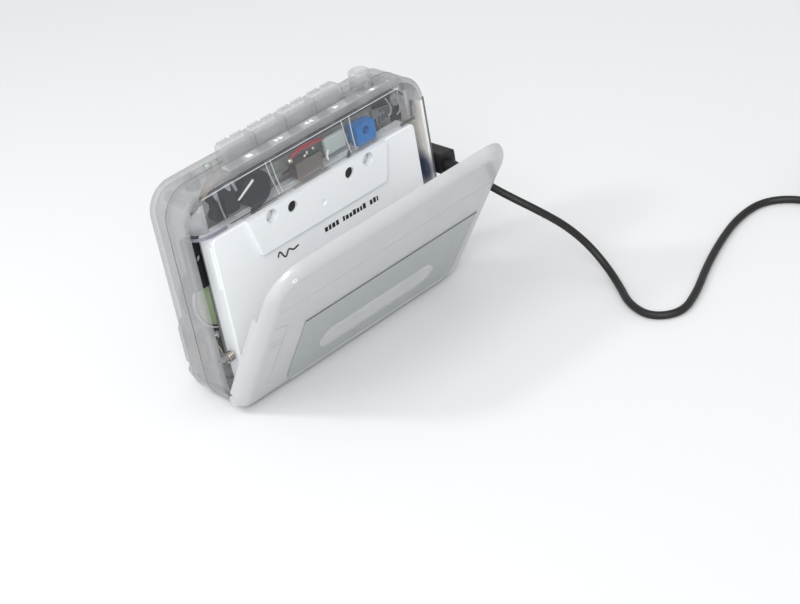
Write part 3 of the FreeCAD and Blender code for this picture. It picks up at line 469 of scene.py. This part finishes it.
def wire(name, points, radius, finish, body, closed=False, sides=4):
    """A smooth round wire through control points in millimetres."""
    curve = bpy.data.curves.new(name, "CURVE")
    curve.dimensions = "3D"
    curve.bevel_depth = radius * MM
    curve.bevel_resolution = sides
    curve.resolution_u = 6
    curve.use_fill_caps = not closed
    spline = curve.splines.new("NURBS")
    spline.points.add(len(points) - 1)
    for target, p in zip(spline.points, points):
        target.co = (*at(*p), 1.0)
    spline.order_u = 3
    spline.use_cyclic_u = closed
    spline.use_endpoint_u = not closed
    piece = bpy.data.objects.new(name, curve)
    bpy.context.scene.collection.objects.link(piece)
    curve.materials.append(FINISH[finish])
    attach(piece, body)
    return piece


def disc(cx, cy, radius, steps=40):
    return [(cx + radius * math.cos(2 * math.pi * i / steps), cy + radius * math.sin(2 * math.pi * i / steps))
            for i in range(steps)]


# ---- top strip and its symbols ----
def symbols():
    """Stop, fast forward, rewind and play above their keys, and a dot for record."""
    y = 6.0
    square = [(-1.2, -1.1), (1.2, -1.1), (1.2, 1.1), (-1.2, 1.1)]

    def arrow(x, way, length=1.9):
        return [(x - way * length / 2, y - 1.15), (x + way * length / 2, y), (x - way * length / 2, y + 1.15)]

    outlines = [[(SYMBOL_X[0] + a, y + b) for a, b in square]]
    outlines += [arrow(SYMBOL_X[1] - 1.0, 1), arrow(SYMBOL_X[1] + 1.1, 1)]
    outlines += [arrow(SYMBOL_X[2] - 1.0, -1), arrow(SYMBOL_X[2] + 1.1, -1)]
    outlines += [arrow(SYMBOL_X[3], 1, 2.6)]
    outlines += [disc(36.6, 4.15, 0.95)]
    flat_plates("strip_symbols", outlines, (STRIP_TOP - 0.02, STRIP_TOP + 0.08), "print_white", "case")


def strip_lines():
    """Fine slanted ribs across the strip, in blocks between the symbols."""
    blocks = [(-33.4, -26.0, 3.5, 7.9), (-19.0, -12.6, 3.5, 7.9), (-4.2, 2.2, 3.5, 7.9),
              (10.0, 16.4, 3.5, 7.9), (24.0, 30.2, 3.5, 7.9), (30.6, 34.0, 3.4, 4.9), (39.0, 44.4, 3.4, 4.9)]
    pitch, width = 0.72, 0.3
    outlines = []
    for left, right, near, far in blocks:
        count = int((right - left) / pitch)
        lean = (far - near) * 0.32
        for i in range(count):
            x = left + pitch * i
            outlines.append([(x, near), (x + width, near), (x + width + lean, far), (x + lean, far)])
    flat_plates("strip_ribs", outlines, (STRIP_TOP - 0.02, STRIP_TOP + 0.1), "strip_rib", "case")


# ---- seen beside the cassette ----
def motor_face():
    """The motor's pale label, the dark rim round it and the white ring outside that."""
    y = MOTOR_FRONT
    lathe_y("motor_label", MOTOR_X, MOTOR_Z,
            [(0, y - 0.08), (11.8, y - 0.08), (11.9, y - 0.02), (11.9, y + 0.1)],
            "label_green", "case")
    lathe_y("motor_label_rim", MOTOR_X, MOTOR_Z,
            [(11.95, y + 0.1), (11.95, y - 0.1), (12.2, y - 0.14), (12.45, y - 0.1), (12.45, y + 0.1)],
            "print_black", "case")
    lathe_y("motor_ring", MOTOR_X, MOTOR_Z,
            [(12.5, y + 0.4), (12.5, y - 0.25), (12.75, y - 0.35), (12.95, y - 0.25), (13.3, y + 0.6)],
            "print_white", "case")


def spring_wire():
    """The wound spring that pushes the door open, on its post."""
    points = [(-55.4, 5.9, 28.6), (-54.9, 5.5, 26.8), (-53.9, 5.1, 23.6)]
    turns, steps = 3, 16
    coil_r, coil_start, coil_width = 1.72, -53.5, 2.7
    for i in range(turns * steps + 1):
        angle = math.pi / 2 - 2 * math.pi * i / steps
        x = coil_start + coil_width * i / (turns * steps)
        points.append((x, 3.4 + coil_r * math.sin(angle), 21.0 + coil_r * math.cos(angle)))
    points += [(-51.4, 4.9, 18.2), (-53.2, 5.2, 17.2), (-55.6, 5.6, 17.4)]
    spring = wire("door_spring_wire", points, 0.3, "spring_steel", "case")
    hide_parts("door_spring")


def side_fittings():
    """The fixings that show between the cassette and the case's left wall."""
    rounded_block("switch_block", (-56.6, 9.0, 48.0), (-47.0, 10.8, 69.6), 0.5, "black_plastic", "case")
    upright_plates("switch_tabs", [[(-52.4, 59.6), (-51.5, 60.0), (-51.0, 61.6), (-52.0, 61.2)],
                                   [(-49.9, 61.4), (-49.0, 61.8), (-49.2, 63.2), (-50.0, 62.8)]],
                   (8.5, 8.95), "steel", "case", edge=0.15)
    bracket = [(-56.8, 9.2), (-49.4, 9.2), (-49.4, 12.6), (-51.2, 14.2), (-51.2, 19.4), (-52.8, 20.8),
               (-52.8, 25.6), (-50.8, 27.2), (-50.8, 29.2), (-56.8, 29.2)]
    upright_plates("hinge_bracket", [bracket], (8.9, 9.9), "clear_rib", "case", edge=0.25)
    for name, x, z in (("bracket_screw_top", -52.0, 28.0), ("bracket_screw_low", -53.4, 16.2)):
        lathe_y(name, x, z, [(0, 8.2), (0.6, 8.25), (0.95, 8.6), (0.95, 9.1), (0, 9.1)], "steel", "case",
                steps=24)
    lead = [(-55.8, 7.8, 30.4), (-54.0, 7.6, 29.4), (-52.4, 7.6, 27.0), (-51.4, 7.6, 24.4)]
    wire("bracket_wire", lead, 0.22, "print_black", "case")
    edge = [(-50.9, 29.0), (-50.9, 27.2), (-52.7, 25.6), (-52.7, 20.8), (-51.2, 19.4), (-51.2, 14.2),
            (-49.4, 12.6), (-49.4, 9.4)]
    wire("bracket_edge", [(x, 8.8, z) for x, z in edge], 0.16, "moulded_line", "case")


def cassette_edges():
    """The low step along each side of the cassette and the line down its rear edge."""
    for side in (-1, 1):
        name = "left" if side < 0 else "right"
        x = side * TAPE_HALF_W
        low, high = (x - 0.28, x + 0.1) if side < 0 else (x - 0.1, x + 0.28)
        rounded_block("cassette_pad_" + name, (low, 1.5, 48.8), (high, 5.0, 66.0), 0.2, "cassette_white",
                      "case")
    line = [(-50.25, 7.5, z) for z in (66.5, 45.0, 20.0, 8.5)]
    wire("cassette_rear_line", line, 0.1, "print_black", "case")


def right_wall():
    """The hazy inside of the right wall and its darker front edge."""
    bm = bmesh.new()
    profile = [(56.75, 1.9), (58.0, 1.9), (58.0, 1.98), (56.95, 2.1), (56.95, 21.0), (56.75, 20.9)]
    prism(bm, profile, 5.0, 75.0)
    bmesh.ops.recalc_face_normals(bm, faces=bm.faces)
    placed("wall_liner", from_bmesh("wall_liner", bm), "wall_haze", "case", smooth=False)
    edge = [(58.05, 11.0), (59.03, 11.0), (59.03, 76.0), (58.05, 76.0)]
    upright_plates("wall_edge", [edge], (1.92, 2.3), "edge_grey", "case", edge=0.1)


# ---- door details ----
def door_point(x, y, z):
    """A point of the closed door where the open door holds it."""
    ahead, up = y - PIVOT_Y, z - PIVOT_Z
    c, s = math.cos(DOOR_OPEN), math.sin(DOOR_OPEN)
    return (x, PIVOT_Y + ahead * c - up * s, PIVOT_Z + ahead * s + up * c)


def door_wire(name, points, radius, finish, closed=False):
    wire(name, [door_point(*p) for p in points], radius, finish, "door", closed=closed)


def door_lines():
    """Fine moulded lines on the door and the edges of its panel."""
    face = DOOR_FACE
    for i, (high, drop) in enumerate(((59.0, 7.4), (47.6, 4.6), (44.6, 4.4))):
        points = [(-DOOR_HALF_W, 1.4, high), (-DOOR_HALF_W, -0.5, high), (-57.3, -3.7, high - 0.4 * drop)]
        points += [(-54.2, face, high - 0.6 * drop), (-50.0, face, high - 0.8 * drop)]
        points += [(-46.4, face, high - drop)]
        door_wire(f"door_flank_line_{i}", points, 0.1, "moulded_line")
    edge = [(-46.4, 51.6), (-46.4, 40.0), (-47.0, 28.0), (-47.6, 14.0)]
    door_wire("door_edge_line", [(x, face, z) for x, z in edge], 0.1, "moulded_line")
    band = [(-53.5, 64.0), (-50.5, 63.2), (-20.0, 63.0), (54.0, 63.0)]
    door_wire("door_band_line", [(x, face, z) for x, z in band], 0.06, "moulded_line")
    window_ledge()
    ring = disc(-50.8, 81.0, 1.1, 12)
    door_wire("door_mark", [(x, face, z) for x, z in ring], 0.13, "print_white", closed=True)
    top = [(x, face - 0.3, PANEL_TOP) for x in (-36.6, 0.0, 51.5)]
    door_wire("panel_top_line", top, 0.11, "print_black")
    left = [(PANEL_LEFT, face - 0.3, z) for z in (45.4, 30.0, 9.6)]
    door_wire("panel_left_line", left, 0.08, "moulded_line")
    low = [(x, face - 0.25, 5.9) for x in (-34.0, 0.0, 47.0)]
    door_wire("panel_low_line", low, 0.14, "print_white")


def window_ledge():
    """The grey stepped ledge behind the door's window."""
    ledge = [(-26.0, 13.0), (38.0, 13.0), (38.0, 19.6), (-2.0, 19.6), (-3.6, 22.4), (-9.6, 22.4),
             (-9.6, 20.4), (-26.0, 20.4)]
    bm = bmesh.new()
    prism(bm, ledge, -3.1, -2.7)
    facing_front(bm)
    bmesh.ops.recalc_face_normals(bm, faces=bm.faces)
    soften(bm, 0.15)
    for vertex in bm.verts:
        vertex.co = door_point(*vertex.co)
    placed("window_ledge", from_bmesh("window_ledge", bm), "sight_grey", "door", smooth=False)


# ---- seen through the head cover ----
def roller_clip():
    """The bright clip across the pinch roller."""
    bar = [(-34.4, 77.2), (-33.6, 76.9), (-25.8, 81.0), (-26.3, 81.8)]
    upright_plates("roller_clip", [bar], (1.65, 2.05), "print_white", "head_carriage",
                   edge=0.1)


def head_wires():
    """The record and play head's thin leads and the beads of solder at their ends."""
    red = [(-7.1, 4.2, 79.4), (-5.6, 4.0, 80.4), (-3.6, 3.6, 81.4), (-1.4, 3.7, 81.4), (1.8, 3.9, 80.9),
           (4.9, 4.0, 80.9), (8.2, 4.4, 80.6), (11.5, 6.2, 79.0)]
    other = [(-7.0, 4.8, 79.0), (-4.6, 4.9, 80.8), (-1.2, 4.4, 82.0), (2.6, 4.6, 81.6), (6.2, 5.0, 81.4),
             (9.0, 6.0, 80.4)]
    pair = wire("head_lead_red", red, 0.42, "lead_red", "head_carriage")
    wire("head_lead_red_pair", other, 0.36, "lead_red", "head_carriage")
    green = [(-0.2, 4.0, 78.2), (2.2, 3.8, 78.0), (4.6, 4.2, 77.7), (7.6, 5.0, 77.2), (10.6, 6.4, 76.0)]
    wire("head_lead_green", green, 0.42, "lead_green", "head_carriage")
    wire("head_lead_pale", [(0.9, 3.8, 79.3), (1.2, 3.9, 78.6), (0.6, 4.2, 77.9)], 0.4, "white_plastic",
         "head_carriage")
    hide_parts("head_leads")
    beads = bmesh.new()
    for x, y, z, size in ((-7.1, 3.9, 79.3, 1.15), (-0.2, 3.9, 78.1, 0.75), (4.1, 3.9, 79.2, 0.7)):
        made = bmesh.ops.create_icosphere(beads, subdivisions=3, radius=size)
        for vertex in made["verts"]:
            c = vertex.co
            wobble = 1 + 0.09 * math.sin(7 * c.x) * math.cos(6 * c.z)
            vertex.co = Vector((x + c.x * wobble, y + c.y * 0.85, z + c.z * wobble * 0.92))
    placed("solder_beads", from_bmesh("solder_beads", beads), "solder", "head_carriage")


def cover_fittings():
    """Moulded fins and ribs inside the head cover, and the dark switchgear at its right end."""
    fins = [[(-44.6, 84.9), (-42.0, 85.0), (-43.2, 81.2)],
            [(-39.6, 85.2), (-36.2, 85.3), (-36.4, 82.2), (-37.2, 82.4)],
            [(-36.0, 85.2), (-34.6, 85.2), (-33.6, 81.0), (-34.4, 80.8)]]
    upright_plates("cover_fins", fins, (1.52, 1.95), "clear_rib", "case")
    curved = []
    for x, lean in ((-42.6, 1.5), (46.0, 2.8)):
        left = [(x + lean * t * t, 84.6 - 12.0 * t) for t in [i / 8 for i in range(9)]]
        curved.append(left + [(a + 0.35, b) for a, b in reversed(left)])
    upright_plates("cover_curved_ribs", curved, (1.5, 2.1), "clear_rib", "case", edge=0.05)
    hook = [(9.4, 76.6), (8.6, 75.0), (8.3, 73.7), (8.6, 72.55), (9.2, 72.55), (9.0, 73.7), (9.3, 74.7),
            (10.0, 76.1)]
    upright_plates("guide_hook", [hook], (2.2, 2.8), "print_white", "head_carriage",
                   edge=0.05)
    switch = [(36.2, 79.6), (45.2, 78.0), (46.8, 82.4), (44.0, 84.2), (37.0, 84.6)]
    upright_plates("switch_body", [switch], (5.6, 6.4), "black_plastic", "case", edge=0.3)
    contacts = [[(36.6, 74.0), (37.3, 74.3), (38.2, 76.6), (37.4, 77.0)],
                [(38.4, 74.4), (39.3, 74.6), (40.0, 76.8), (39.0, 77.2)],
                [(40.4, 75.0), (41.4, 74.8), (42.2, 77.4), (41.2, 77.8)],
                [(42.6, 75.4), (43.4, 75.0), (44.6, 77.4), (43.6, 78.0)],
                [(38.0, 78.2), (44.0, 77.4), (44.2, 78.4), (38.4, 79.2)]]
    upright_plates("switch_contacts", contacts, (3.4, 4.4), "switch_grey", "case", edge=0.15)
    # painted shade: a thin black plate on the right side of the blue head block, standing in for that side's
    # shadow
    upright_plates("block_side_shade", [[(33.75, 72.5), (34.6, 72.5), (34.4, 77.4), (33.75, 77.6)]], (2.3, 3.4),
                   "black_plastic", "head_carriage", edge=0.05)
    clips = {"cover_clip_wire": [(40.6, 83.2), (41.6, 81.2), (42.6, 78.6), (42.0, 76.4), (40.8, 75.8)],
             "cover_clip_wire_b": [(45.2, 83.0), (46.6, 80.4), (47.2, 77.2), (46.4, 75.0), (45.0, 74.6)]}
    for name, line in clips.items():
        wire(name, [(x, 2.4, z) for x, z in line], 0.3, "clear_rib", "case")
    post = [(51.4, 70.9), (52.2, 70.9), (52.4, 74.4), (53.6, 76.4), (53.0, 77.0), (51.8, 75.2), (50.4, 74.8),
            (50.0, 74.0), (51.3, 73.8)]
    upright_plates("cover_post", [post], (2.0, 3.0), "smoke_dark", "case", edge=0.15)
    pad = [(43.8, 70.45), (51.4, 70.45), (51.4, 71.7), (43.8, 71.7)]
    upright_plates("lip_pad", [pad], (-0.08, 0.3), "smoke_dark", "case", edge=0.1)


def cover_ribs():
    """Two pairs of leaning ribs, a white wire that paints the highlight along the cover's top edge, and the
    pale block on the head carriage behind them.
    """
    leans = (((-19.6, 85.2), (-16.4, 70.8)), ((-17.3, 85.2), (-14.6, 70.8)), ((17.4, 84.9), (19.4, 70.8)),
             ((21.4, 84.9), (22.0, 70.8)))
    for i, ((top_x, top_z), (low_x, low_z)) in enumerate(leans):
        middle_x = (top_x + low_x) / 2 - 0.5
        line = [(top_x, 1.62, top_z), (middle_x, 1.66, (top_z + low_z) / 2), (low_x, 1.62, low_z)]
        wire(f"cover_rib_{i}", line, 0.2, "rib_and_highlight_white", "case")
    # painted highlight: a thin white wire along the head cover's top front edge, where the light catches it
    edge = [(-49.6, 0.5, 85.2), (-47.0, 0.3, 85.6), (0.0, 0.3, 85.6), (46.0, 0.3, 85.6)]
    wire("cover_edge_highlight", edge, 0.14, "rib_and_highlight_white", "case")
    rounded_block("tape_block", (10.2, 4.4, 72.6), (20.6, 6.6, 79.4), 1.0, "pale_green", "head_carriage")


def cover_ends():
    """Milky layers just inside the head cover's rounded ends, painting the pale reflection those curved ends
    show.
    """
    for side in (-1, 1):
        bm = bmesh.new()
        corner = 8.0
        quarter = [math.pi * i / 28 for i in range(15)]
        columns = []
        for layer, angles in ((1.6, quarter), (1.75, quarter[::-1])):
            r = COVER_END_R - layer
            for angle in angles:
                x, y = COVER_END_X + r * math.cos(angle), COVER_END_R - r * math.sin(angle)
                top = 75.6 + math.sqrt(max(0.0, corner ** 2 - max(0.0, x - 46.9) ** 2))
                columns.append((side * x, y, top))
        low = [bm.verts.new((x, y, 72.05)) for x, y, top in columns]
        high = [bm.verts.new((x, y, top - 0.3)) for x, y, top in columns]
        bm.faces.new(low)
        bm.faces.new(list(reversed(high)))
        for i in range(len(columns)):
            j = (i + 1) % len(columns)
            bm.faces.new((low[i], low[j], high[j], high[i]))
        name = "cover_end_left" if side < 0 else "cover_end_right"
        bmesh.ops.triangulate(bm, faces=[f for f in bm.faces if len(f.verts) > 4])
        placed(name, from_bmesh(name, bm), "dome_painted_reflection", "case")


def cover_lip():
    """The tinted edge along the head cover's low left corner, and a painted shadow line under its lip."""

    def plan(offset):
        radius = COVER_END_R + offset
        corner = [(-COVER_END_X - radius * math.cos(a), COVER_END_R - radius * math.sin(a))
                  for a in [i * math.pi / 24 for i in range(13)]]
        return corner + [(-46.0, -offset), (-42.4, -offset)]

    outline = plan(0.07) + list(reversed(plan(-0.1)))
    flat_plates("cover_lip_tint", [outline], (70.42, 71.7), "lip_tint", "case")
    # painted shadow: black wires under the lip, thick at the left and thin further right
    thick = [(-39.5, 1.9, 70.35), (-32.0, 1.85, 70.32), (-24.0, 1.8, 70.32), (-14.0, 1.8, LIP_SHADOW_Z)]
    wire("under_lip_shadow", thick, 0.17, "print_black", "case")
    thin = [(x, 1.8, LIP_SHADOW_Z) for x in (-14.0, 0.0, 22.0, 35.0)]
    wire("under_lip_shadow_thin", thin, 0.08, "print_black", "case")


# ---- cassette details ----
def cassette_marks():
    """Plain printed marks: a row of short strokes and a small wave, in place of lettering."""
    y = (-0.06, 0.02)
    base, gap, space = 47.6, 0.5, 1.2
    outlines = []
    widths = (1.5, 1.2, 1.5, 1.3, 0, 1.0, 1.4, 1.3, 1.5, 1.2, 1.0, 1.4, 0, 1.3, 1.3, 0.7)
    x = -1.0
    random.seed(3)
    for width in widths:
        if width:
            tall = 1.7 + 0.5 * random.random()
            outlines.append([(x, base), (x + width, base), (x + width, base + tall), (x, base + tall)])
        x += (width or space) + gap
    upright_plates("cassette_strokes", outlines, y, "print_black", "case", edge=0.02)
    wave = []
    for i in range(33):
        t = i / 32
        fading = 0.55 + 0.45 * math.cos(math.pi * t)
        wave.append((-24.2 + 10.0 * t, -0.05, 49.0 + 1.7 * math.sin(4.4 * math.pi * t) * fading))
    wire("cassette_wave", wave, 0.3, "print_black", "case")


def painted_hole_shade():
    """Painted shade: black discs in the cassette's two locating holes, standing in for the dark of their
    depths.
    """
    for side in (-1, 1):
        name = "hole_shade_left" if side < 0 else "hole_shade_right"
        profile = [(0, -0.3), (1.5, -0.35), (2.15, -0.5), (2.15, 0.4), (0, 0.4)]
        lathe_y(name, side * LOCATING_X, LOCATING_Z, profile, "print_black", "case",
                steps=40)


def hole_linings():
    """White guide posts that show in the cassette's two outer holes."""
    for side in (-1, 1):
        name = "guide_post_left" if side < 0 else "guide_post_right"
        profile = [(0, 1.0), (1.6, 1.0), (1.9, 1.2), (1.9, 1.35), (2.45, 1.4), (2.45, 2.0), (0, 2.0)]
        lathe_y(name, side * CAPSTAN_HOLE_X, CAPSTAN_HOLE_Z, profile, "white_plastic", "case",
                steps=40)


def seam_line():
    """The fine groove where the two shells meet."""
    r = CASE_CORNER_R - 0.02
    corners = ((CASE_CORNER_X, CASE_CORNER_HIGH), (-CASE_CORNER_X, CASE_CORNER_HIGH),
               (-CASE_CORNER_X, CASE_CORNER_LOW), (CASE_CORNER_X, CASE_CORNER_LOW))
    points = []
    for quarter, (cx, cz) in enumerate(corners):
        for i in range(9):
            angle = math.radians(90 * quarter + 90 * i / 8)
            points.append((cx + r * math.cos(angle), SEAM, cz + r * math.sin(angle)))
    wire("shell_seam", points, 0.16, "smoke_dark", "case", closed=True, sides=2)


# ---- stage ----
def stage():
    """A plain pale floor, an even sky and three soft lights."""
    floor_mesh = bpy.data.meshes.new("floor")
    reach = 6.0
    corners = [(-reach, -reach, 0), (reach, -reach, 0), (reach, reach, 0), (-reach, reach, 0)]
    floor_mesh.from_pydata(corners, [], [(0, 1, 2, 3)])
    floor = bpy.data.objects.new("floor", floor_mesh)
    bpy.context.scene.collection.objects.link(floor)
    floor_mesh.materials.append(plastic("floor_paper", (0.745, 0.748, 0.751), 0.7, grain=0.02, tone=0.005))
    world = bpy.data.worlds.new("studio")
    bpy.context.scene.world = world
    world.use_nodes = True
    world.node_tree.nodes["Background"].inputs["Color"].default_value = (0.97, 0.98, 1.0, 1)
    world.node_tree.nodes["Background"].inputs["Strength"].default_value = 0.76
    lamp("key_light", (-0.55, -0.10, 0.95), 0.50, 2.2)
    lamp("front_light", (-1.30, -1.44, 1.40), 1.2, 29.0)
    lamp("window_light", (-0.30, 0.15, 0.42), 0.07, 0.60)


def lamp(name, place, size, power):
    data = bpy.data.lights.new(name, "AREA")
    data.shape = "SQUARE"
    data.size = size
    data.energy = power
    light = bpy.data.objects.new(name, data)
    light.location = place
    aim = Vector((0, 0, 0.04)) - Vector(place)
    light.rotation_euler = aim.to_track_quat("-Z", "Y").to_euler()
    bpy.context.scene.collection.objects.link(light)


def render_choices():
    scene = bpy.context.scene
    scene.view_settings.view_transform = "Standard"
    scene.cycles.max_bounces = 10
    scene.cycles.transparent_max_bounces = 24


camera()
FINISH = finishes()
cord()
dress(FINISH)
symbols()
strip_lines()
motor_face()
spring_wire()
side_fittings()
cassette_edges()
right_wall()
door_lines()
roller_clip()
head_wires()
cover_fittings()
cover_ribs()
cover_ends()
cover_lip()
cassette_marks()
hole_linings()
painted_hole_shade()
seam_line()
stage()
render_choices()
